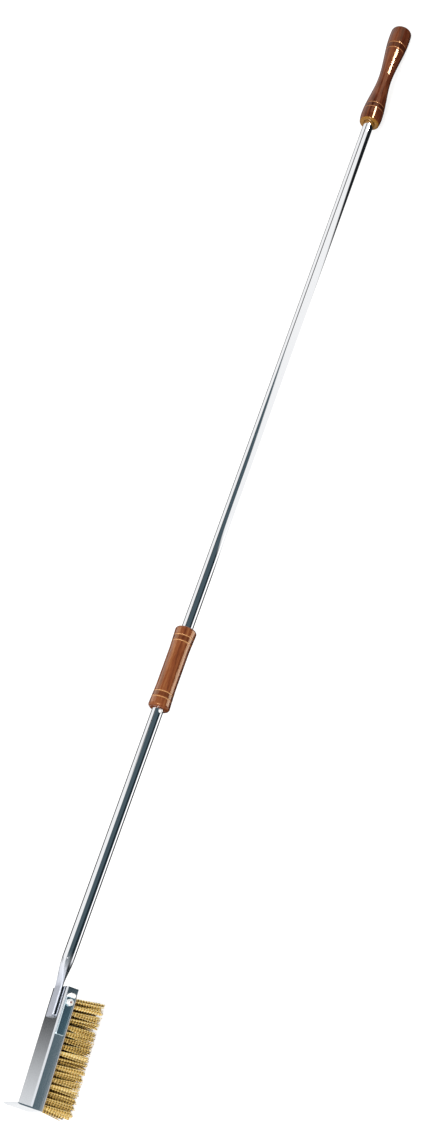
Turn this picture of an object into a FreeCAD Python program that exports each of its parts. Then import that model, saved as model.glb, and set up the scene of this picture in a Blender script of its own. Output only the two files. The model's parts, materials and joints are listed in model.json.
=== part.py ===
import FreeCAD, Part
import math
import os

from FreeCAD import Placement, Rotation, Vector

# Long brush for an oven floor, lying on its bristles and on the end of its handle.
# It is drawn in the frame of its head: x runs to the tip, y to the side with the locking bar
# and z out of the back of the channel, with x = 0 at the channel's rear edge. At the end the
# whole brush is turned and moved until its front tufts and its handle touch the floor.

# Channel, folded from one sheet
channel_length = 148.0
channel_width = 51.6
channel_depth = 16.2
sheet = 1.5
fold_radius = 1.2
edge_rounding = 0.7

# Scraper plate across the tip
scraper_thickness = 1.8
scraper_rise = 18.0
scraper_edge = 0.5
scraper_bevel = 5.0
scraper_corner = 1.5

# Wooden block in the channel
block_rear_gap = 9.0
block_proud = 1.0
block_clearance = 0.2
block_rounding = 0.8

# Tufts of crimped wire
row_pitch = 8.1
column_pitch = 9.0
front_row_inset = 5.5
rear_row_inset = 3.5
side_column_inset = 5.6
tuft_hole = 4.6
tuft_hole_depth = 8.0
least_wood = 0.6
tuft_clearance = 0.1
tuft_sides = 6
tuft_tip_radius = 3.9
bristle_length = 39.0
crimp_count = 5
crimp_swing = 0.55
side_flare = 3.0
front_lean = 0.6
rear_lean = 4.5
ragged_length = 2.4

# Tube with its flattened end
tube_diameter = 16.0
tube_wall = 1.2
tube_straight = 1430.0
tube_lean = 2.96
squeeze_length = 36.0
tongue_length = 38.0
tongue_thickness = 3.2
tongue_corner = 4.0

# Turned end handle, its places measured from its mouth unless they say from its crown
end_handle_length = 195.0
end_bore_depth = 64.0
end_mouth_radius = 15.6
end_mouth_rounding = 2.5
end_mouth_slope = 0.2
end_bulge_radius = 16.8
end_bulge_place = 14.0
end_waist_radius = 10.5
end_waist_place = 91.0
end_barrel_radius = 16.6
end_barrel_from_crown = 20.0
end_barrel_curve = 220.0
end_barrel_lead = 16.0
end_shoulder_drop = 7.5
end_shoulder_rounding = 5.0
end_grooves_from_mouth = (23.0, 32.0)
end_grooves_from_crown = (37.0, 47.5)

# Turned mid grip
mid_grip_place = 384.0
mid_grip_length = 120.0
mid_grip_radius = 13.7
mid_grip_swell = 1.2
mid_grip_swell_length = 32.0
mid_grip_rounding = 4.0
mid_grip_grooves = (13.5, 22.0)

# Turned grooves and fit of the wood on the tube
groove_width = 2.2
groove_depth = 0.75
tube_fit = 0.1
bore_countersink = 1.5

# Stop pin under the mid grip
stop_shank = 3.0
stop_head_radius = 3.2
stop_head_height = 2.6
stop_turn = 12.0
stop_gap = 0.3
stop_fit = 0.05

# Locking bar
bar_length = 52.0
bar_width = 10.4
bar_thickness = 2.5
bar_corner = 1.5
bar_end_radius = 4.7
bar_edge_rounding = 0.7
bar_rear_margin = 7.0
bar_bend_gap = 0.3
bar_bend_radius = 0.8
bar_turn_out = 50.0

# Cross bolt, washer and nut
bolt_place = 18.7
bolt_drop = 7.9
bolt_diameter = 5.0
bolt_fit = 0.2
bolt_overhang = 1.6
bolt_chamfer = 0.6
hex_width = 8.0
hex_chamfer = 0.5
head_height = 3.5
nut_height = 4.0
washer_radius = 5.0
washer_thickness = 1.0

# Levels and places that several pieces share
floor_side = -(channel_depth + block_proud)
tip_level = -(channel_depth + bristle_length)
front_row = channel_length - front_row_inset
rows_reach = front_row - block_rear_gap - rear_row_inset
row_count = int(rows_reach / row_pitch) + 1
block_half = channel_width / 2 - sheet - block_clearance
column_count = int(2 * (block_half - side_column_inset) / column_pitch) + 1
tongue_middle = tongue_thickness / 2
side = channel_width / 2
bar_side = side + bar_thickness
tube_radius = tube_diameter / 2
tube_girth = math.pi * tube_diameter
tongue_half_width = (tube_girth - math.pi * tongue_thickness) / 4 + tongue_thickness / 2
mid_grip_start = mid_grip_place - squeeze_length
nut_corner = hex_width / math.sqrt(3)
bar_turn = math.radians(bar_turn_out)
bar_bend_reach = (bar_thickness + bar_bend_radius) * math.tan(bar_turn / 2)
bar_bend = bolt_place - nut_corner - bar_bend_gap - bar_bend_reach
bar_rise = (bar_bend - bar_rear_margin) * math.tan(bar_turn)
end_handle_start = tube_straight - end_bore_depth
end_barrel_place = end_handle_length - end_barrel_from_crown
stop_place = mid_grip_start - stop_gap - stop_head_radius


def outline(edges):
    return Part.Face(Part.Wire(Part.__sortEdges__(edges)))


def polygon(points):
    return Part.makePolygon(points + [points[0]])


# A closed outline whose corners, given as point and radius, are rounded
def rounded_outline(corners):
    edges, ends = [], []
    for i, (corner, radius) in enumerate(corners):
        before = (corners[i - 1][0] - corner).normalize()
        after = (corners[(i + 1) % len(corners)][0] - corner).normalize()
        if radius == 0:
            ends.append((corner, corner))
            continue
        half = before.getAngle(after) / 2
        reach = radius / math.tan(half)
        start, end = corner + before * reach, corner + after * reach
        inward = (before + after).normalize()
        middle = corner + inward * (radius / math.sin(half) - radius)
        edges.append(Part.Arc(start, middle, end).toShape())
        ends.append((start, end))
    for i, (start, end) in enumerate(ends):
        following = ends[(i + 1) % len(ends)][0]
        if end.distanceToPoint(following) > 1e-6:
            edges.append(Part.makeLine(end, following))
    return outline(edges)


def fused(shapes):
    return shapes[0].fuse(shapes[1:]).removeSplitter()


def across(radius, x, z):
    return Part.makeCylinder(radius, 4 * side, Vector(x, -2 * side, z), Vector(0, 1, 0))


# Frames along the squeezed stretch of the tube, whose x runs on to the handle: share is 0 at
# the channel's rear edge and 1 where the tube is round and straight
def squeeze_frame(share):
    bend_radius = squeeze_length / math.radians(tube_lean)
    turned = math.radians(tube_lean * share)
    sink = bend_radius * (1 - math.cos(turned))
    place = Vector(-bend_radius * math.sin(turned), 0, tongue_middle - sink)
    half_turn = Rotation(Vector(0, 0, 1), 180)
    return Placement(place, Rotation(Vector(0, 1, 0), -math.degrees(turned)) * half_turn)


tube_frame = squeeze_frame(1)
stop_turned = Placement(Vector(0, 0, 0), Rotation(Vector(1, 0, 0), stop_turn))


# Section of the squeezed tube, an oval of four arcs that keeps the tube's girth: flat is 0
# where it is round and 1 where its broad sides are straight, and inset is 0 on the outside
def oval(flat, inset):
    edge_radius = tube_radius + (tongue_middle - tube_radius) * flat
    edge_angle = math.radians(60 + 30 * flat)
    if flat < 1:
        broad_radius = (tube_girth - 4 * edge_angle * edge_radius) / (2 * math.pi - 4 * edge_angle)
        centre = (broad_radius - edge_radius) * math.cos(edge_angle)
        sink = (broad_radius - edge_radius) * math.sin(edge_angle)
        height = broad_radius - inset - sink
    else:
        centre = (tube_girth - 2 * math.pi * edge_radius) / 4
        height = edge_radius - inset
    radius = edge_radius - inset
    y = centre + radius * math.cos(edge_angle)
    z = radius * math.sin(edge_angle)
    corners = [Vector(0, y, -z), Vector(0, y, z), Vector(0, -y, z), Vector(0, -y, -z)]
    middles = [Vector(0, centre + radius, 0), Vector(0, 0, height),
               Vector(0, -centre - radius, 0), Vector(0, 0, -height)]
    edges = []
    for i, middle in enumerate(middles):
        start, end = corners[i], corners[(i + 1) % 4]
        if flat == 1 and i % 2:
            edges.append(Part.makeLine(start, end))
        else:
            edges.append(Part.Arc(start, middle, end).toShape())
    return Part.Wire(edges)


# The tube's outside, or its bore when inset by the wall and run on past both ends
def tube_body(inset, overrun):
    sections = []
    for share in (0, 0.25, 0.5, 0.75, 1):
        section = oval(1 - share * share * (3 - 2 * share), inset)
        section.Placement = squeeze_frame(share)
        sections.append(section)
    squeeze = Part.makeLoft(sections, True, False)
    along = tube_frame.Rotation.multVec(Vector(1, 0, 0))
    straight = Part.Face(sections[-1]).extrude(along * (tube_straight + overrun))
    tongue = Part.Face(sections[0]).extrude(Vector(tongue_length + overrun, 0, 0))
    return fused([squeeze, straight, tongue])


def make_tube():
    tube = tube_body(0, 0)
    for hand in (1, -1):
        y = hand * tongue_half_width
        inner = Vector(tongue_length - tongue_corner, y - hand * tongue_corner, -tongue_thickness)
        corner = Part.makeBox(2 * tongue_corner, 2 * tongue_corner, 3 * tongue_thickness,
                              inner - Vector(0, 0 if hand > 0 else 2 * tongue_corner, 0))
        rounding = Part.makeCylinder(tongue_corner, 3 * tongue_thickness, inner)
        tube = tube.cut(corner.cut(rounding))
    pin_hole = across(stop_shank / 2 + stop_fit, stop_place, 0)
    pin_hole.Placement = tube_frame * stop_turned
    return tube.cut(tube_body(tube_wall, 1)).cut(pin_hole)


# Turned wood: a half outline in x and z is spun about the tube's axis
def turned(edges):
    return outline(edges).revolve(Vector(0, 0, 0), Vector(1, 0, 0), 360)


# A curve through points of the outline, with its direction in each
def smooth_curve(points, directions):
    curve = Part.BSplineCurve()
    tangents = [Vector(x, 0, z) for x, z in directions]
    curve.interpolate(Points=points, Tangents=tangents, TangentFlags=[True] * len(points))
    return curve


# Parameters of a curve's left end, of its right end and of the place x between them
def left_and_right(curve):
    ends = (curve.FirstParameter, curve.LastParameter)
    return sorted(ends, key=lambda end: curve.value(end).x)


def parameter_at(curve, x):
    left, right = left_and_right(curve)
    for _ in range(40):
        middle = (left + right) / 2
        if curve.value(middle).x < x:
            left = middle
        else:
            right = middle
    return left


# The curve's stretches between the turned grooves on it, and each groove as an arc
def grooved(curve, places):
    start, end = left_and_right(curve)
    within = [place for place in sorted(places) if curve.value(start).x < place < curve.value(end).x]
    edges = []
    for place in within:
        near = parameter_at(curve, place - groove_width / 2)
        far = parameter_at(curve, place + groove_width / 2)
        bottom = curve.value(parameter_at(curve, place)) - Vector(0, 0, groove_depth)
        edges.append(curve.toShape(min(start, near), max(start, near)))
        edges.append(Part.Arc(curve.value(near), bottom, curve.value(far)).toShape())
        start = far
    return edges + [curve.toShape(min(start, end), max(start, end))]


# Place, radius and slope of the handle's barrel, an arc, at a distance from its fullest place
def on_barrel(distance):
    drop = math.sqrt(end_barrel_curve ** 2 - distance ** 2)
    radius = end_barrel_radius - end_barrel_curve + drop
    return Vector(end_barrel_place + distance, 0, radius), -distance / drop


# The rounded shoulder and the crown, two arcs that meet smoothly and end on the axis
def shoulder_and_crown(start, slope):
    angle = math.atan(slope)
    rounding = end_shoulder_rounding
    centre = start + Vector(math.sin(angle), 0, -math.cos(angle)) * rounding
    drop = end_handle_length - centre.x
    crown_radius = (drop ** 2 + centre.z ** 2 - rounding ** 2) / (2 * (drop - rounding))
    crown_centre = Vector(end_handle_length - crown_radius, 0, 0)
    joint_angle = math.atan2(centre.z, centre.x - crown_centre.x)

    def on_arc(middle, radius, turn):
        return middle + Vector(math.cos(turn), 0, math.sin(turn)) * radius

    half_way = (math.pi / 2 + angle + joint_angle) / 2
    joint = on_arc(centre, rounding, joint_angle)
    return [
        Part.Arc(start, on_arc(centre, rounding, half_way), joint).toShape(),
        Part.Arc(joint, on_arc(crown_centre, crown_radius, joint_angle / 2),
                 Vector(end_handle_length, 0, 0)).toShape(),
    ]


def make_end_handle():
    bore = tube_radius + tube_fit
    rim = end_mouth_radius - end_mouth_rounding
    diagonal = end_mouth_rounding * math.sqrt(0.5)
    crown = end_handle_length
    barrel_start, start_slope = on_barrel(-end_barrel_lead)
    barrel_end, end_slope = on_barrel(crown - end_shoulder_drop - end_barrel_place)
    body = smooth_curve(
        [Vector(end_mouth_rounding, 0, end_mouth_radius),
         Vector(end_bulge_place, 0, end_bulge_radius),
         Vector(end_waist_place, 0, end_waist_radius),
         barrel_start],
        [(1, end_mouth_slope), (1, 0), (1, 0), (1, start_slope)])
    barrel = Part.Arc(barrel_start, on_barrel(0)[0], barrel_end)
    mouth = Part.Arc(
        Vector(0, 0, rim),
        Vector(end_mouth_rounding - diagonal, 0, rim + diagonal),
        Vector(end_mouth_rounding, 0, end_mouth_radius))
    grooves = end_grooves_from_mouth + tuple(crown - drop for drop in end_grooves_from_crown)
    handle = turned([
        Part.makeLine(Vector(0, 0, bore + bore_countersink), Vector(0, 0, rim)),
        mouth.toShape(), *grooved(body, grooves), *grooved(barrel, grooves),
        *shoulder_and_crown(barrel_end, end_slope),
        Part.makeLine(Vector(crown, 0, 0), Vector(end_bore_depth, 0, 0)),
        Part.makeLine(Vector(end_bore_depth, 0, 0), Vector(end_bore_depth, 0, bore)),
        Part.makeLine(Vector(end_bore_depth, 0, bore), Vector(bore_countersink, 0, bore)),
        Part.makeLine(Vector(bore_countersink, 0, bore), Vector(0, 0, bore + bore_countersink)),
    ])
    handle.Placement = tube_frame * Placement(Vector(end_handle_start, 0, 0), Rotation())
    return handle


def make_mid_grip():
    bore = tube_radius + tube_fit
    end_radius = mid_grip_radius + mid_grip_swell
    rim = end_radius - mid_grip_rounding
    length, rounding = mid_grip_length, mid_grip_rounding
    diagonal = rounding * math.sqrt(0.5)
    near = [Vector(0, 0, rim), Vector(rounding - diagonal, 0, rim + diagonal),
            Vector(rounding, 0, end_radius)]
    far = [Vector(length - point.x, 0, point.z) for point in near]
    swell_ends = [Vector(x, 0, mid_grip_radius)
                  for x in (mid_grip_swell_length, length - mid_grip_swell_length)]
    body = [near[2], *swell_ends, far[2]]
    grooves = mid_grip_grooves + tuple(length - place for place in mid_grip_grooves)
    sides = []
    for start, end in zip(body, body[1:]):
        sides += grooved(Part.LineSegment(start, end), grooves)
    sink = bore_countersink
    mouths = [Vector(0, 0, bore + sink), Vector(sink, 0, bore),
              Vector(length - sink, 0, bore), Vector(length, 0, bore + sink)]
    grip = turned([
        Part.makeLine(mouths[0], near[0]),
        Part.Arc(*near).toShape(), *sides, Part.Arc(*far).toShape(),
        Part.makeLine(far[0], mouths[3]),
        *[Part.makeLine(start, end) for start, end in zip(mouths, mouths[1:])],
    ])
    grip.Placement = tube_frame * Placement(Vector(mid_grip_start, 0, 0), Rotation())
    return grip


# Shapes turned about the y axis, for pins and bolts: points are (y, radius)
def spun_across(points):
    face = Part.Face(polygon([Vector(radius, y, 0) for y, radius in points]))
    return face.revolve(Vector(0, 0, 0), Vector(0, 1, 0), 360)


def make_grip_stop():
    shank, head, height = stop_shank / 2, stop_head_radius, stop_head_height
    dome_radius = (head ** 2 + height ** 2) / (2 * height)
    stop = spun_across([(-tube_radius, 0), (-tube_radius, shank), (tube_radius, shank), (tube_radius, 0)])
    caps = []
    for hand in (1, -1):
        sphere = Part.makeSphere(dome_radius, Vector(0, hand * (tube_radius + height - dome_radius), 0))
        slab = Part.makeBox(2 * head, height, 2 * head, Vector(-head, -height / 2, -head))
        slab.translate(Vector(0, hand * (tube_radius + height / 2), 0))
        caps.append(sphere.common(slab))
    stop = fused([stop] + caps)
    stop.Placement = tube_frame * Placement(Vector(stop_place, 0, 0), Rotation()) * stop_turned
    return stop


def make_channel():
    outer = fold_radius + sheet
    inside = side - sheet
    channel = rounded_outline([
        (Vector(0, -side, -channel_depth), edge_rounding),
        (Vector(0, -side, 0), outer),
        (Vector(0, side, 0), outer),
        (Vector(0, side, -channel_depth), edge_rounding),
        (Vector(0, inside, -channel_depth), edge_rounding),
        (Vector(0, inside, -sheet), fold_radius),
        (Vector(0, -inside, -sheet), fold_radius),
        (Vector(0, -inside, -channel_depth), edge_rounding),
    ]).extrude(Vector(channel_length, 0, 0))
    return channel.cut(across(bolt_diameter / 2 + bolt_fit, bolt_place, -bolt_drop))


def make_scraper():
    near, far = channel_length, channel_length + scraper_thickness
    plate = Part.Face(polygon([
        Vector(near, -side, -channel_depth),
        Vector(near, -side, scraper_rise),
        Vector(near + scraper_edge, -side, scraper_rise),
        Vector(far, -side, scraper_rise - scraper_bevel),
        Vector(far, -side, -channel_depth),
    ])).extrude(Vector(0, channel_width, 0))
    front = rounded_outline([
        (Vector(near, -side, -channel_depth), edge_rounding),
        (Vector(near, -side, scraper_rise), scraper_corner),
        (Vector(near, side, scraper_rise), scraper_corner),
        (Vector(near, side, -channel_depth), edge_rounding),
    ])
    return plate.common(front.extrude(Vector(scraper_thickness, 0, 0)))


def row_place(row):
    return front_row - row * row_pitch


def column_place(column):
    return (column - (column_count - 1) / 2) * column_pitch


# Rows that pass under the cross bolt have shallower holes
def hole_depth(row):
    beside = abs(row_place(row) - bolt_place) < bolt_diameter / 2 + bolt_fit + tuft_hole / 2 + least_wood
    under_bolt = -bolt_drop - bolt_diameter / 2 - bolt_fit - least_wood - floor_side
    return min(tuft_hole_depth, under_bolt) if beside else tuft_hole_depth


def make_block():
    top_rounding = fold_radius + block_clearance
    block = rounded_outline([
        (Vector(block_rear_gap, -block_half, floor_side), block_rounding),
        (Vector(block_rear_gap, -block_half, -sheet), top_rounding),
        (Vector(block_rear_gap, block_half, -sheet), top_rounding),
        (Vector(block_rear_gap, block_half, floor_side), block_rounding),
    ]).extrude(Vector(channel_length - block_rear_gap, 0, 0))
    holes = [across(bolt_diameter / 2 + bolt_fit, bolt_place, -bolt_drop)]
    for row in range(row_count):
        for column in range(column_count):
            mouth = Vector(row_place(row), column_place(column), floor_side)
            holes.append(Part.makeCylinder(tuft_hole / 2, hole_depth(row), mouth))
    return block.cut(Part.Compound(holes))


# One tuft: straight in its hole, then in zigzag crimps that spread towards its ragged tip
def make_tuft(row, column):
    root = tuft_hole / 2 - tuft_clearance
    middle_column = (column_count - 1) / 2
    end_lean = front_lean - (front_lean + rear_lean) * row / (row_count - 1)
    side_lean = side_flare * (column - middle_column) / middle_column
    short = ragged_length * ((5 * row + 3 * column) % 7) / 6 if row else 0
    length = floor_side - tip_level - short
    stations = [(0, 0, floor_side + hole_depth(row), root)]
    for crimp in range(crimp_count + 1):
        share = crimp / crimp_count
        swing = crimp_swing * (-1) ** crimp if 0 < crimp < crimp_count else 0
        stations.append((end_lean * share ** 2 + swing, side_lean * share ** 2,
                         floor_side - length * share, root + (tuft_tip_radius - root) * share))
    rings = []
    for x, y, z, radius in stations:
        centre = Vector(row_place(row) + x, column_place(column) + y, z)
        angles = [2 * math.pi * i / tuft_sides for i in range(tuft_sides)]
        rings.append([
            centre + Vector(radius * math.cos(angle), radius * math.sin(angle), 0) for angle in angles])
    facets = [rings[0], rings[-1]]
    for upper, lower in zip(rings, rings[1:]):
        for i in range(tuft_sides):
            facets.append([upper[i - 1], upper[i], lower[i], lower[i - 1]])
    return Part.makeSolid(Part.makeShell([Part.Face(polygon(facet)) for facet in facets]))


# The edges round a solid's faces on the seen side, without those between two such faces
def seen_rim(solid):
    edges = []
    for face in solid.Faces:
        u_start, u_end, v_start, v_end = face.ParameterRange
        if face.normalAt((u_start + u_end) / 2, (v_start + v_end) / 2).y > 0.01:
            edges += face.Edges
    return [edge for edge in edges if sum(edge.isSame(other) for other in edges) == 1]


def make_locking_bar():
    rear, front = bar_rear_margin, bar_rear_margin + bar_length
    shift = bar_thickness * math.tan(bar_turn / 2)
    low = -bolt_drop - bar_width / 2
    rear_end = Vector(rear, side + bar_rise, low)
    strip = rounded_outline([
        (Vector(front, side, low), 0),
        (Vector(bar_bend, side, low), bar_bend_radius + bar_thickness),
        (rear_end, 0),
        (rear_end + Vector(math.sin(bar_turn), math.cos(bar_turn), 0) * bar_thickness, 0),
        (Vector(bar_bend + shift, bar_side, low), bar_bend_radius),
        (Vector(front, bar_side, low), 0),
    ]).extrude(Vector(0, 0, bar_width))
    shape = rounded_outline([
        (Vector(front, 0, low), bar_corner),
        (Vector(front, 0, low + bar_width), bar_corner),
        (Vector(rear, 0, low + bar_width), bar_end_radius),
        (Vector(rear, 0, low), bar_end_radius),
    ]).extrude(Vector(0, 2 * side, 0))
    bar = strip.common(shape)
    bar = bar.makeFillet(bar_edge_rounding, seen_rim(bar))
    return bar.cut(across(bolt_diameter / 2 + bolt_fit, bolt_place, -bolt_drop))


# A hexagon across the brush whose outer corners are turned off, from y inside to y outside
def hexagon(inner, outer):
    points = [Vector(nut_corner * math.cos(math.pi * i / 3), inner, nut_corner * math.sin(math.pi * i / 3))
              for i in range(6)]
    prism = Part.Face(polygon(points)).extrude(Vector(0, outer - inner, 0))
    bevel = math.copysign(hex_chamfer, outer - inner)
    turning = spun_across([(inner, 0), (inner, nut_corner), (outer - bevel, nut_corner),
                           (outer, hex_width / 2 - hex_chamfer / 4), (outer, 0)])
    return prism.common(turning)


def on_bolt_axis(shape):
    shape.translate(Vector(bolt_place, 0, -bolt_drop))
    return shape


def make_bolt():
    radius = bolt_diameter / 2
    seat = -side - washer_thickness
    end = bar_side + nut_height + bolt_overhang
    shank = spun_across([(seat, 0), (seat, radius), (end - bolt_chamfer, radius),
                         (end, radius - bolt_chamfer), (end, 0)])
    return on_bolt_axis(fused([hexagon(seat, seat - head_height), shank]))


def ring_hole(clearance):
    return across(bolt_diameter / 2 + clearance, 0, 0)


def make_washer():
    washer = spun_across([(-side - washer_thickness, 0), (-side - washer_thickness, washer_radius),
                          (-side, washer_radius), (-side, 0)])
    return on_bolt_axis(washer.cut(ring_hole(bolt_fit)))


def make_nut():
    nut = hexagon(bar_side, bar_side + nut_height)
    return on_bolt_axis(nut.cut(ring_hole(bolt_fit / 2)))


# The floor touches the lower front corner of the first row and the arc of the handle's barrel
def resting_place():
    touch = Vector(front_row + front_lean + tuft_tip_radius, 0, tip_level)
    above_axis = end_barrel_curve - end_barrel_radius
    barrel = tube_frame.multVec(Vector(end_handle_start + end_barrel_place, 0, above_axis))
    span = math.hypot(touch.x - barrel.x, barrel.z - touch.z)
    climb = math.atan2(barrel.z - touch.z, touch.x - barrel.x) - math.asin(end_barrel_curve / span)
    turn = Rotation(Vector(0, 1, 0), -math.degrees(climb))
    crown = turn.multVec(tube_frame.multVec(Vector(end_handle_start + end_handle_length, 0, 0)))
    scraper_front = channel_length + scraper_thickness
    tip = turn.multVec(Vector(scraper_front, 0, scraper_rise - scraper_bevel))
    seen_side = max(bar_side + nut_height + bolt_overhang,
                    side + bar_rise + bar_thickness * math.cos(bar_turn))
    far_side = -side - washer_thickness - head_height
    floor = turn.multVec(touch).z
    return Placement(Vector(-(crown.x + tip.x) / 2, -(seen_side + far_side) / 2, -floor), turn)


pieces = {
    "handle_tube": make_tube(),
    "end_handle": make_end_handle(),
    "mid_grip": make_mid_grip(),
    "grip_stop": make_grip_stop(),
    "head_channel": make_channel(),
    "scraper_plate": make_scraper(),
    "brush_block": make_block(),
    "locking_bar": make_locking_bar(),
    "cross_bolt": make_bolt(),
    "bolt_washer": make_washer(),
    "bolt_nut": make_nut(),
}
for row in range(row_count):
    tufts = [make_tuft(row, column) for column in range(column_count)]
    pieces[f"tuft_row_{row + 1:02d}"] = Part.Compound(tufts)

rest = resting_place()
os.makedirs("parts", exist_ok=True)
for name, shape in pieces.items():
    shape.Placement = rest * shape.Placement
    shape.exportStep(f"parts/{name}.step")
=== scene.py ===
import json
import math
import random

import bpy
from mathutils import Matrix, Vector


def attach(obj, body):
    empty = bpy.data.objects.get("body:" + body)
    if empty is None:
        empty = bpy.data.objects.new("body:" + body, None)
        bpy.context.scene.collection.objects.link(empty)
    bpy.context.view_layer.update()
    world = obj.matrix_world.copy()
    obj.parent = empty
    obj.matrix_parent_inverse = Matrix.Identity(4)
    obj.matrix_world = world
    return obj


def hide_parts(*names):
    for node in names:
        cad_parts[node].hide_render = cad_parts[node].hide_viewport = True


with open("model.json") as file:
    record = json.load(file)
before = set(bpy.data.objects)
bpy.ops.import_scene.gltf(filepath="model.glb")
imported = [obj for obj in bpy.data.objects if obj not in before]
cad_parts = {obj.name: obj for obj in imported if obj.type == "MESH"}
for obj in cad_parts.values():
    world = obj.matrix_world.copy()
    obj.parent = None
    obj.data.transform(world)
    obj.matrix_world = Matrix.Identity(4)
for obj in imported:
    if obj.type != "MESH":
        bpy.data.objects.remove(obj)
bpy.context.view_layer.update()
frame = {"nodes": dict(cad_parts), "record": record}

mm = 0.001
nodes = frame["nodes"]
mounts = {mount["name"]: mount for mount in frame["record"]["mounts"]}
print("frame loaded:", len(nodes), "pieces")


# The head's own directions: along it to the tip, across it to the locking bar, and out of its back
head = {"faceAhead": 149.8, "faceAbove": -1.6}   # middle of the scraper's face, from the channel's rear edge
alongHead = Vector(mounts["scraper_face"]["axis"])
acrossHead = Vector((0, 1, 0))
outOfBack = alongHead.cross(acrossHead)
headFrame = Matrix((alongHead, acrossHead, outOfBack)).transposed().to_4x4()
headFrame.translation = (Vector(mounts["scraper_face"]["pos_m"])
                         - alongHead * head["faceAhead"] * mm - outOfBack * head["faceAbove"] * mm)

# The tube's direction, from the head to the handle, and its angle from the x axis
alongTube = Vector(mounts["shaft_clip"]["axis"])
tubeLean = math.atan2(alongTube.z, alongTube.x)


# An sRGB hex colour as the linear values that a node takes
def linear(hexColour):
    channels = [int(hexColour[i:i + 2], 16) / 255 for i in (1, 3, 5)]
    return tuple(c / 12.92 if c <= 0.04045 else ((c + 0.055) / 1.055) ** 2.4 for c in channels) + (1.0,)


# Adds one node with its settings and links, and a ramp's colours as (place, colour) from low to high. An
# input goes by its name or number: in a Mix node 6 and 7 are the two colours, and 2 and 3 the two numbers.
def addNode(tree, kind, inputs=None, stops=None, **settings):
    node = tree.nodes.new(kind)
    for name, value in settings.items():
        setattr(node, name, value)
    for socket, value in (inputs or {}).items():
        if isinstance(value, bpy.types.NodeSocket):
            tree.links.new(value, node.inputs[socket])
        else:
            node.inputs[socket].default_value = value
    for i, (place, colour) in enumerate(stops or []):
        elements = node.color_ramp.elements
        element = elements[i] if i < len(elements) else elements.new(place)
        element.position, element.color = place, linear(colour)
    return node


def newMaterial(name, **values):
    material = bpy.data.materials.new(name)
    material.use_nodes = True
    tree = material.node_tree
    tree.nodes.clear()
    shader = addNode(tree, "ShaderNodeBsdfPrincipled")
    for socket, value in values.items():
        shader.inputs[socket.replace("_", " ")].default_value = value
    addNode(tree, "ShaderNodeOutputMaterial", {"Surface": shader.outputs["BSDF"]})
    return material, tree, shader


# Random marks on a piece, from 0 to 1: so long in x and so wide, in millimetres, then turned by lean about y
def markings(tree, lean, length, width, detail, roughness=0.5):
    place = addNode(tree, "ShaderNodeTexCoord").outputs["Object"]
    scaled = addNode(tree, "ShaderNodeMapping", {
        "Vector": place, "Rotation": (0, -lean, 0),
        "Scale": (1 / (length * mm), 1 / (width * mm), 1 / (width * mm))}).outputs[0]
    return addNode(tree, "ShaderNodeTexNoise", {
        "Vector": scaled, "Scale": 1.0, "Detail": detail, "Roughness": roughness}).outputs["Fac"]


# 1 where every limit holds and 0 outside, with soft edges. A limit is a value and a pair: where it is all
# outside, and where it is all inside.
def patch(tree, limits):
    mask = 1.0
    for value, (outside, inside) in limits:
        edge = addNode(tree, "ShaderNodeMapRange", {"Value": value, "From Min": outside, "From Max": inside},
                       interpolation_type="SMOOTHSTEP").outputs[0]
        mask = addNode(tree, "ShaderNodeMath", {0: mask, 1: edge}, operation="MULTIPLY").outputs[0]
    return mask


# A colour with others painted over it in turn, each where its mask is 1
def painted(tree, colour, layers):
    for mask, over in layers:
        colour = addNode(tree, "ShaderNodeMix", {"Factor": mask, 6: colour, 7: linear(over)},
                         data_type="RGBA").outputs[2]
    return colour


# Where a piece starts and ends along a direction, in metres
def reach(name, direction):
    places = [direction.dot(vertex.co) for vertex in nodes[name].data.vertices]
    return min(places), max(places)


# How far a place on a piece is past a start along a direction, in millimetres. The start is in metres.
def distance(tree, direction, start):
    place = addNode(tree, "ShaderNodeTexCoord").outputs["Object"]
    along = addNode(tree, "ShaderNodeVectorMath", {0: place, 1: direction / mm},
                    operation="DOT_PRODUCT").outputs["Value"]
    return addNode(tree, "ShaderNodeMath", {0: along, 1: start / mm}, operation="SUBTRACT").outputs[0]


# Chromed steel tube: a bright mirror with a trace of polishing marks. The end that was pressed flat is
# duller, and its underside has painted shade, where the head's back stands close to it.
chrome = {"colour": "#f1f2f4", "roughness": (0.021, 0.056), "contrast": (0.3, 0.8),
          "marks": {"length": 60.0, "width": 0.35, "detail": 3.0},
          "pressed": "#d4d8e4", "pressedRoughness": 0.25, "pressedMetal": 0.45, "pressedReach": (84.0, 46.0),
          "shade": "#262f35", "shadeReach": (76.0, 60.8), "shadeFacing": (0.1, -0.15)}


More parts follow.
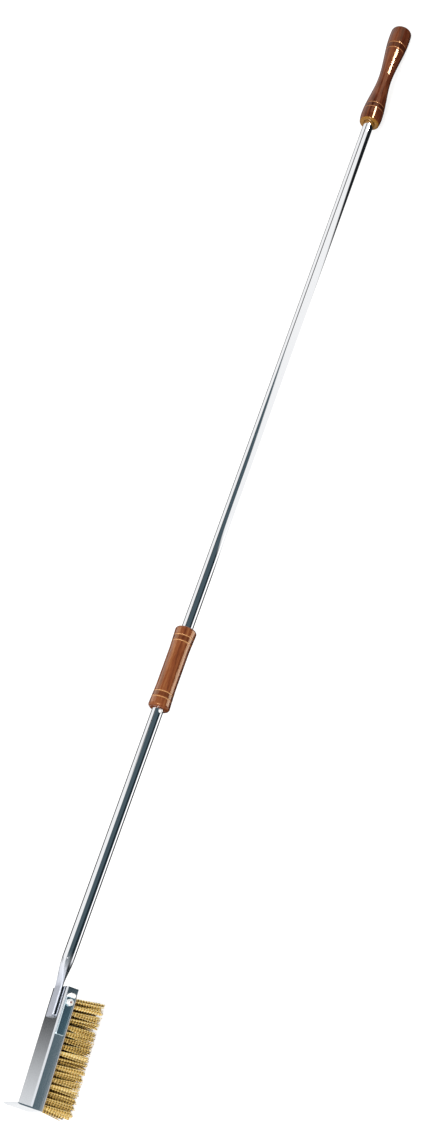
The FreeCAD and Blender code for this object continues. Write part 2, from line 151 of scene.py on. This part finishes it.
def chromePlate():
    material, tree, shader = newMaterial("chromePlate")
    faint, strong = chrome["contrast"]
    smooth, rough = chrome["roughness"]
    polish = addNode(tree, "ShaderNodeMapRange", {
        "Value": markings(tree, tubeLean, **chrome["marks"]), "From Min": faint, "From Max": strong,
        "To Min": smooth, "To Max": rough}).outputs[0]
    away = distance(tree, alongTube, reach("handle_tube", alongTube)[0])
    pressed = patch(tree, [(away, chrome["pressedReach"])])
    dulled = addNode(tree, "ShaderNodeMath", {0: pressed, 1: chrome["pressedRoughness"], 2: polish},
                     operation="MULTIPLY_ADD").outputs[0]
    metal = addNode(tree, "ShaderNodeMapRange", {
        "Value": pressed, "To Min": 1.0, "To Max": chrome["pressedMetal"]}).outputs[0]
    # Painted shade on the pressed end's underside, the side that faces down
    normal = addNode(tree, "ShaderNodeNewGeometry").outputs["Normal"]
    facing = addNode(tree, "ShaderNodeVectorMath", {0: normal, 1: acrossHead.cross(alongTube)},
                     operation="DOT_PRODUCT").outputs["Value"]
    under = patch(tree, [(away, chrome["shadeReach"]), (facing, chrome["shadeFacing"])])
    layers = [(pressed, chrome["pressed"]), (under, chrome["shade"])]
    tree.links.new(painted(tree, linear(chrome["colour"]), layers), shader.inputs["Base Color"])
    tree.links.new(dulled, shader.inputs["Roughness"])
    tree.links.new(metal, shader.inputs["Metallic"])
    return material


# Turned hardwood, stained red-brown under an amber varnish: long grain, dark pores and a gloss that mirrors.
# A pale painted highlight lies in the turned grooves, the band between each two is painted darker, and
# the edge at the mouth is paler. Grooves are in millimetres from the piece's head end, or below 0 from its
# other end.
wood = {"gloss": 0.06, "shine": 0.45, "refraction": 1.5, "amber": "#ffd09a",
        "rings": {"length": 180.0, "width": 4.2, "detail": 1.0}, "ringShare": 0.4,
        "pores": {"length": 9.0, "width": 0.45, "detail": 4.0, "roughness": 0.6}, "poreShare": 0.3,
        "patches": {"length": 45.0, "width": 9.0, "detail": 2.0}, "patchShare": 0.3,
        "tones": (0.36, 0.5, 0.64), "poreRelief": 0.04, "poreDepth": 0.2,
        "grooveHalf": 0.9, "grooveCore": 0.4, "grooveHighlight": 0.8, "darkBandCore": 0.7, "darkBand": 0.5,
        "mouthReach": (1.7, 0.51)}
endWood = {"name": "varnishedWoodDark", "dark": "#34150e", "middle": "#6c3520", "light": "#8b5134",
           "grooves": ((23.0, 32.0), (-47.5, -37.0)), "groove": "#c38b5c", "mouth": "#9c6c2c"}
gripWood = {"name": "varnishedWoodWarm", "dark": "#461e12", "middle": "#7c4226", "light": "#98643c",
            "grooves": ((13.5, 22.0), (-22.0, -13.5)), "groove": "#d09c68", "mouth": "#7c4226"}


def varnishedWood(stain, node):
    material, tree, shader = newMaterial(
        stain["name"], Roughness=wood["gloss"], Specular_IOR_Level=wood["shine"],
        Specular_Tint=linear(wood["amber"]), IOR=wood["refraction"])
    pores = markings(tree, tubeLean, **wood["pores"])
    tone = 0.0
    for pattern, share in ((markings(tree, tubeLean, **wood["rings"]), wood["ringShare"]),
                           (pores, wood["poreShare"]),
                           (markings(tree, tubeLean, **wood["patches"]), wood["patchShare"])):
        tone = addNode(tree, "ShaderNodeMath", {0: pattern, 1: share, 2: tone},
                       operation="MULTIPLY_ADD").outputs[0]
    shades = (stain["dark"], stain["middle"], stain["light"])
    colour = addNode(tree, "ShaderNodeValToRGB", {"Fac": tone},
                     stops=zip(wood["tones"], shades)).outputs["Color"]

    # A band is its middle, half its width, the share of that which is all inside, its strength and colour
    # A painted highlight in each groove, and a band painted darker between each two
    groove = (wood["grooveHalf"], wood["grooveCore"], wood["grooveHighlight"], stain["groove"])
    bands = [(middle, *groove) for pair in stain["grooves"] for middle in pair]
    for first, second in stain["grooves"]:
        between = (second - first) / 2 - wood["grooveHalf"]
        bands.append(((first + second) / 2, between, wood["darkBandCore"], wood["darkBand"], stain["dark"]))
    start, end = reach(node, alongTube)
    layers = []
    for middle, halfWidth, core, strength, over in bands:
        past = distance(tree, alongTube, (start if middle > 0 else end) + middle * mm)
        aside = addNode(tree, "ShaderNodeMath", {0: past}, operation="ABSOLUTE").outputs[0]
        within = patch(tree, [(aside, (halfWidth, halfWidth * core))])
        mask = addNode(tree, "ShaderNodeMath", {0: within, 1: strength}, operation="MULTIPLY").outputs[0]
        layers.append((mask, over))
    mouth = patch(tree, [(distance(tree, alongTube, start), wood["mouthReach"])])
    layers.append((mouth, stain["mouth"]))
    bump = addNode(tree, "ShaderNodeBump", {
        "Height": pores, "Strength": wood["poreRelief"], "Distance": wood["poreDepth"] * mm})
    tree.links.new(painted(tree, colour, layers), shader.inputs["Base Color"])
    tree.links.new(bump.outputs[0], shader.inputs["Normal"])
    return material


# Cold-rolled sheet steel: nearly a mirror, with the fine lengthwise lines of the rolls and faint long waves
steel = {"colour": "#e1e5ea", "roughness": 0.12, "spread": (0.8, 1.25), "contrast": (0.3, 0.75),
         "lines": {"length": 25.0, "width": 0.25, "detail": 3.0}, "lineRelief": 0.1, "lineDepth": 0.02,
         "waves": {"length": 90.0, "width": 3.0, "detail": 1.0}, "waveRelief": 0.25, "waveDepth": 0.1}


def rolledSteel(name, colour, roughness):
    material, tree, shader = newMaterial(name, Base_Color=linear(colour), Metallic=1.0)
    lines = markings(tree, 0, **steel["lines"])
    faint, strong = steel["contrast"]
    smooth, rough = steel["spread"]
    spread = addNode(tree, "ShaderNodeMapRange", {
        "Value": lines, "From Min": faint, "From Max": strong,
        "To Min": roughness * smooth, "To Max": roughness * rough}).outputs[0]
    fine = addNode(tree, "ShaderNodeBump", {
        "Height": lines, "Strength": steel["lineRelief"], "Distance": steel["lineDepth"] * mm}).outputs[0]
    wavy = addNode(tree, "ShaderNodeBump", {
        "Height": markings(tree, 0, **steel["waves"]), "Strength": steel["waveRelief"],
        "Distance": steel["waveDepth"] * mm, "Normal": fine}).outputs[0]
    tree.links.new(spread, shader.inputs["Roughness"])
    tree.links.new(wavy, shader.inputs["Normal"])
    return material


# The locking bar's blued zinc, with the sheet's rolled lines: a painted highlight along its front and upper
# edges, with white enamel on the end that is turned out
bar = {"colour": "#7f9fad", "roughness": 0.2, "rim": "#dcecf2", "rimReach": (-1.43, -0.77),
       "enamel": "#f6f6f3", "enamelReach": (12.6, 12.2)}


def bluedZinc():
    material = rolledSteel("bluedZinc", bar["colour"], bar["roughness"])
    tree = material.node_tree
    shader = tree.nodes["Principled BSDF"]
    layers = []
    # A painted highlight along the bar's front and upper edges
    for direction in (alongHead, outOfBack):
        inside = distance(tree, direction, reach("locking_bar", direction)[1])
        layers.append((patch(tree, [(inside, bar["rimReach"])]), bar["rim"]))
    ahead = distance(tree, alongHead, alongHead.dot(headFrame.translation))
    enamelled = patch(tree, [(ahead, bar["enamelReach"])])
    layers.append((enamelled, bar["enamel"]))
    metal = addNode(tree, "ShaderNodeMath", {0: 1.0, 1: enamelled}, operation="SUBTRACT").outputs[0]
    tree.links.new(painted(tree, linear(bar["colour"]), layers), shader.inputs["Base Color"])
    tree.links.new(metal, shader.inputs["Metallic"])
    return material


# Zinc plate on the fasteners: a fine frosted bloom over a pale grey, or over black on the washer, which is
# painted shade, a dark ring round the nut
zinc = {"white": "#f2f2f0", "black": "#232a2f", "roughness": (0.3, 0.65), "metallic": 0.55,
        "bloom": {"length": 0.6, "width": 0.6, "detail": 2.0}}


def zincPlate(name, colour):
    material, tree, shader = newMaterial(name, Base_Color=linear(colour), Metallic=zinc["metallic"])
    smooth, rough = zinc["roughness"]
    spread = addNode(tree, "ShaderNodeMapRange", {
        "Value": markings(tree, 0, **zinc["bloom"]), "To Min": smooth, "To Max": rough}).outputs[0]
    tree.links.new(spread, shader.inputs["Roughness"])
    return material


# The bolt was cut off after it was plated, so the middle of its end is bare and reddish
cut = {"colour": "#9a6a60", "depth": (-0.7, -0.6), "radius": (1.5, 1.2)}


def cutZinc():
    material = zincPlate("whiteZincCut", zinc["white"])
    tree = material.node_tree
    shader = tree.nodes["Principled BSDF"]
    outward = distance(tree, acrossHead, reach("cross_bolt", acrossHead)[1])
    offAxis = 0.0
    for direction in (alongHead, outOfBack):
        aside = distance(tree, direction, sum(reach("cross_bolt", direction)) / 2)
        squared = addNode(tree, "ShaderNodeMath", {0: aside, 1: 2.0}, operation="POWER").outputs[0]
        offAxis = addNode(tree, "ShaderNodeMath", {0: offAxis, 1: squared}, operation="ADD").outputs[0]
    radius = addNode(tree, "ShaderNodeMath", {0: offAxis}, operation="SQRT").outputs[0]
    bare = patch(tree, [(outward, cut["depth"]), (radius, cut["radius"])])
    colour = painted(tree, linear(zinc["white"]), [(bare, cut["colour"])])
    tree.links.new(colour, shader.inputs["Base Color"])
    return material


# Planed beech: pale, with short dark flecks along the grain
beech = {"dark": "#a97c4b", "light": "#cfa877", "tones": (0.3, 0.7), "roughness": 0.6,
         "flecks": {"length": 4.0, "width": 0.5, "detail": 4.0}, "fleckRelief": 0.2, "fleckDepth": 0.1}


def planedBeech():
    material, tree, shader = newMaterial("planedBeech", Roughness=beech["roughness"])
    flecks = markings(tree, 0, **beech["flecks"])
    colour = addNode(tree, "ShaderNodeValToRGB", {"Fac": flecks},
                     stops=zip(beech["tones"], (beech["dark"], beech["light"]))).outputs["Color"]
    bump = addNode(tree, "ShaderNodeBump", {
        "Height": flecks, "Strength": beech["fleckRelief"], "Distance": beech["fleckDepth"] * mm})
    tree.links.new(colour, shader.inputs["Base Color"])
    tree.links.new(bump.outputs[0], shader.inputs["Normal"])
    return material


# Drawn brass wire: golden and bright, each wire a little lighter or browner than its neighbour
brass = {"dark": "#4e3006", "middle": "#fad06c", "light": "#fff6c4", "tones": (0.0, 0.5, 1.0),
         "roughness": 0.3, "metallic": 0.4}


def drawnBrass():
    material, tree, shader = newMaterial(
        "drawnBrass", Metallic=brass["metallic"], Roughness=brass["roughness"])
    tone = addNode(tree, "ShaderNodeAttribute", attribute_name="tone").outputs["Fac"]
    shades = (brass["dark"], brass["middle"], brass["light"])
    colour = addNode(tree, "ShaderNodeValToRGB", {"Fac": tone}, stops=zip(brass["tones"], shades))
    tree.links.new(colour.outputs["Color"], shader.inputs["Base Color"])
    return material


sheetSteel = rolledSteel("rolledSteel", steel["colour"], steel["roughness"])
whiteZinc = zincPlate("whiteZinc", zinc["white"])
finishes = {
    "handle_tube": chromePlate(),
    "end_handle": varnishedWood(endWood, "end_handle"),
    "mid_grip": varnishedWood(gripWood, "mid_grip"),
    "grip_stop": whiteZinc,
    "head_channel": sheetSteel,
    "scraper_plate": sheetSteel,
    "brush_block": planedBeech(),
    "locking_bar": bluedZinc(),
    "cross_bolt": cutZinc(),
    # The washer's black is painted shade, a dark ring round the nut
    "bolt_washer": zincPlate("darkRimZinc", zinc["black"]),
    "bolt_nut": whiteZinc,
}
for nodeName, finish in finishes.items():
    node = nodes[nodeName]
    if not node.material_slots:
        node.data.materials.append(None)
    for place in node.material_slots:
        place.material = finish
print("finishes on", len(finishes), "solid pieces")


# Tufts of crimped wire, in millimetres from the channel's rear edge and its back face. Real wires are 0.3 mm
# thick: these are drawn three times as coarse, with painted highlight and painted shade on alternate bends,
# so that the crimps show from a step away. The inner columns get painted shade, darker than the outer two,
# and clumps and wires differ in tone. Turns are in radians.
tufts = {"rows": 17, "columns": 5, "rowPitch": 8.1, "columnPitch": 9.0, "frontRow": 142.5,
         "blockFace": -17.2, "rootDepth": 3.0, "length": 37.9, "rootRadius": 2.1, "tipRadius": 3.6,
         "wires": 24, "pointed": 3, "leastPointed": 0.2, "frontLean": 0.6, "rearLean": 4.5, "sideFlare": 3.0,
         "unruly": 1.2, "stray": 1.1, "wander": 0.3, "turn": 0.3, "kinds": 8, "clumpTone": 0.1,
         "innerShade": -0.27, "seed": 7}
wire = {"radius": 0.46, "sides": 4, "crimp": 1.7, "swing": 0.42, "turn": (0.2, 1.1), "shade": 0.36,
        "tone": 0.5, "variety": 0.24}


# One crimped wire that hangs from the origin, with a few crimps lost at its tip
def modelWire(lost):
    bpy.ops.object.select_all(action="DESELECT")
    bpy.ops.mesh.primitive_circle_add(vertices=wire["sides"], radius=wire["radius"] * mm, fill_type="NGON")
    piece = bpy.context.object
    piece.name = f"wireShort{lost}"
    bpy.ops.object.mode_set(mode="EDIT")
    bpy.ops.mesh.select_all(action="SELECT")
    wholeLength = tufts["length"] + tufts["rootDepth"]
    crimps = round(wholeLength / wire["crimp"])
    for i in range(crimps - lost):
        aside = wire["swing"] * (1 if i % 2 else -1) * (1 if i == 0 else 2)
        bpy.ops.mesh.extrude_region_move(
            TRANSFORM_OT_translate={"value": (0, aside * mm, -wholeLength / crimps * mm)})
    bpy.ops.mesh.select_all(action="SELECT")
    bpy.ops.mesh.normals_make_consistent(inside=False)
    bpy.ops.object.mode_set(mode="OBJECT")
    # Painted highlight and shade: every second bend is lighter, the others darker
    tone = piece.data.attributes.new("tone", "FLOAT", "POINT")
    bends = [round(-vertex.co.z * crimps / (wholeLength * mm)) % 2 for vertex in piece.data.vertices]
    tone.data.foreach_set("value", [wire["shade"] * (1 if bend else -1) for bend in bends])
    return piece


def copyOf(piece):
    copy = piece.copy()
    copy.data = piece.data.copy()
    bpy.context.collection.objects.link(copy)
    return copy


# Adds a step to the tone of every bend on a piece: lighter above 0, darker below
def shiftTone(piece, step):
    tone = piece.data.attributes["tone"]
    tone.data.foreach_set("value", [step + point.value for point in tone.data])


def joinAll(parts, name):
    bpy.ops.object.select_all(action="DESELECT")
    for part in parts:
        part.select_set(True)
    bpy.context.view_layer.objects.active = parts[0]
    bpy.ops.object.join()
    parts[0].name = name
    return parts[0]


# One tuft: its wires spread from the hole in the block to a ragged point, set out by the golden angle
def modelTuft(singles, chance, name):
    goldenAngle = math.pi * (3 - math.sqrt(5))
    wires = []
    for i in range(tufts["wires"]):
        spread = math.sqrt((i + 0.5) / tufts["wires"])
        angle = i * goldenAngle + chance.uniform(-tufts["wander"], tufts["wander"])
        outward = Vector((math.cos(angle), math.sin(angle), 0)) * spread
        root = outward * tufts["rootRadius"] * mm
        tip = outward * tufts["tipRadius"] * mm
        tip += Vector((chance.gauss(0, 1), chance.gauss(0, 1), 0)) * tufts["stray"] * mm
        lean = (tip - root) / (tufts["length"] * mm)
        lost = round(spread ** 2 * chance.uniform(tufts["leastPointed"], 1) * tufts["pointed"])
        shear = Matrix.Identity(4)
        shear[0][2], shear[1][2] = -lean.x, -lean.y
        turn = Matrix.Rotation(chance.uniform(*wire["turn"]), 4, "Z")
        copy = copyOf(singles[lost])
        copy.data.transform(Matrix.Translation(root) @ shear @ turn)
        shiftTone(copy, chance.gauss(wire["tone"], wire["variety"]))
        wires.append(copy)
    return joinAll(wires, name)


# One row of tufts across the block, which leans with its place along the head and flares to the sides
def modelRow(kinds, row, chance):
    middleColumn = (tufts["columns"] - 1) / 2
    lean = tufts["frontLean"] - (tufts["frontLean"] + tufts["rearLean"]) * row / (tufts["rows"] - 1)
    parts = []
    for column in range(tufts["columns"]):
        tuft = copyOf(chance.choice(kinds))
        unruly = tufts["unruly"] if 0 < row < tufts["rows"] - 1 else 0
        shear = Matrix.Identity(4)
        shear[0][2] = -(lean + chance.gauss(0, 1) * unruly) / tufts["length"]
        shear[1][2] = -tufts["sideFlare"] * (column - middleColumn) / middleColumn / tufts["length"]
        turn = Matrix.Rotation(chance.uniform(-tufts["turn"], tufts["turn"]), 4, "Z")
        place = Vector((tufts["frontRow"] - row * tufts["rowPitch"],
                        (column - middleColumn) * tufts["columnPitch"],
                        tufts["blockFace"] + tufts["rootDepth"])) * mm
        tuft.data.transform(headFrame @ Matrix.Translation(place) @ shear @ turn)
        # Painted shade on the inner columns
        inner = 0 < column < tufts["columns"] - 1
        shiftTone(tuft, chance.gauss(tufts["innerShade"] if inner else 0, tufts["clumpTone"]))
        parts.append(tuft)
    return joinAll(parts, f"bristleRow{row + 1:02d}")


chance = random.Random(tufts["seed"])
brassWire = drawnBrass()
singleWires = [modelWire(lost) for lost in range(tufts["pointed"] + 1)]
kinds = [modelTuft(singleWires, chance, f"tuftKind{i}") for i in range(tufts["kinds"])]
for row in range(tufts["rows"]):
    piece = modelRow(kinds, row, chance)
    bpy.ops.object.select_all(action="DESELECT")
    piece.select_set(True)
    bpy.ops.object.shade_smooth()
    piece.data.materials.append(brassWire)
    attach(piece, "root")
    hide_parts(f"tuft_row_{row + 1:02d}")
for pattern in singleWires + kinds:
    bpy.data.objects.remove(pattern)
print("bristles:", tufts["rows"], "rows")


# Grey paper on the floor, lit to white for the camera. Metal and varnish see it white, with dark cloths laid
# on it: one in front of the brush that pales with distance, one beside the handle, and one behind the head's
# half of the tube. In front of that half a strip of the paper is brighter. Places are in metres, and pairs
# are limits.
floorLook = {"size": 60.0, "paper": "#a8a8a6", "glow": 0.8, "white": "#ffffff",
             "nearCloth": "#1f2c33", "farCloth": "#4c5c64", "headCloth": "#5f7077", "darkCloth": "#1c1f22",
             "frontEdge": 0.04, "headEdge": 0.135, "headStart": (0.675, 0.725), "clothEdge": (-0.005, 0.005),
             "clothPale": (0.12, 0.5), "sideLean": 0.5, "sideEdge": (0.07, 0.11), "handleEnd": -0.43,
             "handleLean": 0.26, "handleFront": (0.012, -0.012), "handleBack": (-0.03, -0.01),
             "behindFront": (0.006, 0.002), "behindBack": (-0.3, -0.25), "behindStart": (0.06, 0.12),
             "behindEnd": (0.71, 0.69), "stripGlow": 1.3, "stripFront": (0.04, 0.03),
             "stripBack": (0.0, 0.01), "stripStart": (0.0, 0.1), "stripEnd": (0.7, 0.68)}


def paperFloor():
    look = floorLook
    material = bpy.data.materials.new("paperFloor")
    material.use_nodes = True
    tree = material.node_tree
    tree.nodes.clear()
    white = linear(look["white"])
    path = addNode(tree, "ShaderNodeLightPath").outputs
    place = addNode(tree, "ShaderNodeTexCoord").outputs["Object"]
    apart = addNode(tree, "ShaderNodeSeparateXYZ", {0: place}).outputs
    x, y = apart["X"], apart["Y"]

    byHead = patch(tree, [(x, look["headStart"])])
    nearEdge = addNode(tree, "ShaderNodeMapRange", {
        "Value": byHead, "To Min": look["frontEdge"], "To Max": look["headEdge"]}).outputs[0]
    beyond = addNode(tree, "ShaderNodeMath", {0: y, 1: nearEdge}, operation="SUBTRACT").outputs[0]
    aside = addNode(tree, "ShaderNodeMath", {0: y, 1: look["sideLean"], 2: x},
                    operation="MULTIPLY_ADD").outputs[0]
    inFront = patch(tree, [(beyond, look["clothEdge"]), (aside, look["sideEdge"])])
    pale = patch(tree, [(beyond, look["clothPale"])])
    cloth = painted(tree, linear(look["nearCloth"]), [(pale, look["farCloth"]), (byHead, look["headCloth"])])
    seen = addNode(tree, "ShaderNodeMix", {"Factor": inFront, 6: white, 7: cloth},
                   data_type="RGBA").outputs[2]

    pastEnd = addNode(tree, "ShaderNodeMath", {0: x, 1: look["handleEnd"]}, operation="SUBTRACT").outputs[0]
    leant = addNode(tree, "ShaderNodeMath", {0: pastEnd, 1: look["handleLean"], 2: y},
                    operation="MULTIPLY_ADD").outputs[0]
    besideHandle = patch(tree, [(leant, look["handleFront"]), (y, look["handleBack"])])
    behind = patch(tree, [(y, look["behindFront"]), (y, look["behindBack"]),
                          (x, look["behindStart"]), (x, look["behindEnd"])])
    seen = painted(tree, seen, [(besideHandle, look["darkCloth"]), (behind, look["darkCloth"])])

    strip = patch(tree, [(y, look["stripFront"]), (y, look["stripBack"]),
                         (x, look["stripStart"]), (x, look["stripEnd"])])
    glare = addNode(tree, "ShaderNodeMapRange", {
        "Value": strip, "To Min": 1.0, "To Max": look["stripGlow"]}).outputs[0]
    mirrored = addNode(tree, "ShaderNodeEmission", {"Color": seen, "Strength": glare}).outputs[0]
    paper = addNode(tree, "ShaderNodeBsdfDiffuse", {"Color": linear(look["paper"])}).outputs[0]
    glowLevel = addNode(tree, "ShaderNodeMath", {0: path["Is Camera Ray"], 1: look["glow"]},
                        operation="MULTIPLY").outputs[0]
    glow = addNode(tree, "ShaderNodeEmission", {"Color": white, "Strength": glowLevel}).outputs[0]
    lit = addNode(tree, "ShaderNodeAddShader", {0: paper, 1: glow}).outputs[0]
    shown = addNode(tree, "ShaderNodeMixShader", {0: path["Is Glossy Ray"], 1: lit, 2: mirrored}).outputs[0]
    addNode(tree, "ShaderNodeOutputMaterial", {"Surface": shown})
    return material


def makeFloor():
    bpy.ops.object.select_all(action="DESELECT")
    bpy.ops.mesh.primitive_plane_add(size=floorLook["size"])
    floor = bpy.context.object
    floor.name = "floor"
    floor.data.materials.append(paperFloor())


# White sky, which lights more from the front than from the back. Metal and varnish see a dark flag low in
# front, a thin rail over it, and a dark wall behind the brush that pales towards its tip, with a skirt at
# its foot that doesn't. Places are parts of a direction of length 1, and pairs are limits.
skyLook = {"white": "#ffffff", "front": 1.1, "back": 0.3,
           "flag": "#4c5c64", "rail": "#2e2b28", "wall": "#141618",
           "railEnd": (-0.3, -0.35), "railNear": (0.23, 0.27), "railFar": (0.5, 0.46),
           "flagNear": (0.0, 0.05), "flagTop": (0.83, 0.77), "flagLean": 0.1, "flagSide": (-0.478, -0.458),
           "flagEnd": (-0.165, -0.185), "wallNear": (-0.1, -0.2), "wallLean": -0.8, "wallTop": (0.92, 0.88),
           "wallPale": (-0.078, -0.15), "skirtTop": (0.275, 0.245)}


def makeWorld():
    look = skyLook
    world = bpy.data.worlds.new("studioWorld")
    bpy.context.scene.world = world
    world.use_nodes = True
    tree = world.node_tree
    tree.nodes.clear()
    white = linear(look["white"])
    path = addNode(tree, "ShaderNodeLightPath").outputs
    way = addNode(tree, "ShaderNodeTexCoord").outputs["Generated"]
    apart = addNode(tree, "ShaderNodeSeparateXYZ", {0: way}).outputs
    x, y, z = apart["X"], apart["Y"], apart["Z"]

    rail = patch(tree, [(x, look["railEnd"]), (y, look["railNear"]), (y, look["railFar"])])
    side = addNode(tree, "ShaderNodeMath", {0: z, 1: look["flagLean"], 2: x},
                   operation="MULTIPLY_ADD").outputs[0]
    flag = patch(tree, [(y, look["flagNear"]), (z, look["flagTop"]),
                        (side, look["flagSide"]), (x, look["flagEnd"])])
    height = addNode(tree, "ShaderNodeMath", {0: x, 1: look["wallLean"], 2: z},
                     operation="MULTIPLY_ADD").outputs[0]
    wall = patch(tree, [(y, look["wallNear"]), (height, look["wallTop"]), (x, look["wallPale"])])
    skirt = patch(tree, [(y, look["wallNear"]), (z, look["skirtTop"])])
    dark = painted(tree, white, [(rail, look["rail"]), (flag, look["flag"]),
                                 (wall, look["wall"]), (skirt, look["wall"])])

    colour = addNode(tree, "ShaderNodeMix", {"Factor": path["Is Glossy Ray"], 6: white, 7: dark},
                     data_type="RGBA").outputs[2]
    fromFront = addNode(tree, "ShaderNodeMapRange", {
        "Value": y, "From Min": -1.0, "From Max": 1.0,
        "To Min": look["back"], "To Max": look["front"]}).outputs[0]
    seen = addNode(tree, "ShaderNodeMath", {0: path["Is Camera Ray"], 1: path["Is Glossy Ray"]},
                   operation="ADD").outputs[0]
    level = addNode(tree, "ShaderNodeMix", {"Factor": seen, 2: fromFront, 3: 1.0},
                    data_type="FLOAT").outputs[0]
    sky = addNode(tree, "ShaderNodeBackground", {"Color": colour, "Strength": level}).outputs[0]
    addNode(tree, "ShaderNodeOutputWorld", {"Surface": sky})


# A soft box on the camera's side, past the head, so that the tube doesn't mirror it, and four small lamps
# that only gloss shows. Two beside the handle make the long glint on its crown side and the short one on its
# bulge, and two by the grip make the glint along its side and the pale veil over its top.
lamps = {
    "softBox": {"place": (1.5, 1.7, 1.2), "aim": (0.5, 0, 0), "size": (0.8, 0.8), "power": 42.0,
                "lights": True},
    "crownGlint": {"place": (-0.822, 0.045, 0.016), "aim": (-0.822, 0, 0.016), "size": (0.038, 0.02),
                   "power": 0.17, "lights": False},
    "bulgeGlint": {"place": (-0.71, 0.045, 0.026), "aim": (-0.71, 0, 0.026), "size": (0.042, 0.009),
                   "power": 0.09, "lights": False},
    "gripGlint": {"place": (0.271, 0.0195, 0.027), "aim": (0.271, 0.0114, 0.0433), "size": (0.12, 0.016),
                  "power": 0.045, "lights": False},
    "gripVeil": {"place": (0.271, -0.002, 0.08), "aim": (0.271, 0, 0.05), "size": (0.12, 0.03),
                 "power": 0.022, "lights": False},
}


def makeLamp(name, look):
    light = bpy.data.lights.new(name, "AREA")
    light.shape = "RECTANGLE"
    light.size, light.size_y = look["size"]
    light.energy = look["power"]
    lamp = bpy.data.objects.new(name, light)
    bpy.context.collection.objects.link(lamp)
    lamp.location = look["place"]
    lamp.rotation_euler = (Vector(look["aim"]) - Vector(look["place"])).to_track_quat("-Z", "Y").to_euler()
    lamp.visible_camera = False
    lamp.visible_diffuse = look["lights"]


# The photograph's viewpoint: from above the locking bar's side, rolled so that the handle points up
camera = {"place": (1.1134, 2.1538, 0.7744), "aim": (0.1222, -0.0018, 0.0322), "roll": -64.16,
          "lens": 57.0786, "sensor": 36.0}


def makeCamera():
    lens = bpy.data.cameras.new("camera")
    lens.lens, lens.sensor_width = camera["lens"], camera["sensor"]
    viewer = bpy.data.objects.new("camera", lens)
    bpy.context.collection.objects.link(viewer)
    towards = Vector(camera["aim"]) - Vector(camera["place"])
    turn = towards.to_track_quat("-Z", "Y").to_matrix().to_4x4()
    roll = Matrix.Rotation(math.radians(camera["roll"]), 4, "Z")
    viewer.matrix_world = Matrix.Translation(camera["place"]) @ turn @ roll
    bpy.context.scene.camera = viewer


makeFloor()
makeWorld()
for lampName, lampLook in lamps.items():
    makeLamp(lampName, lampLook)
makeCamera()
bpy.context.scene.view_settings.view_transform = "Standard"
print("studio ready")
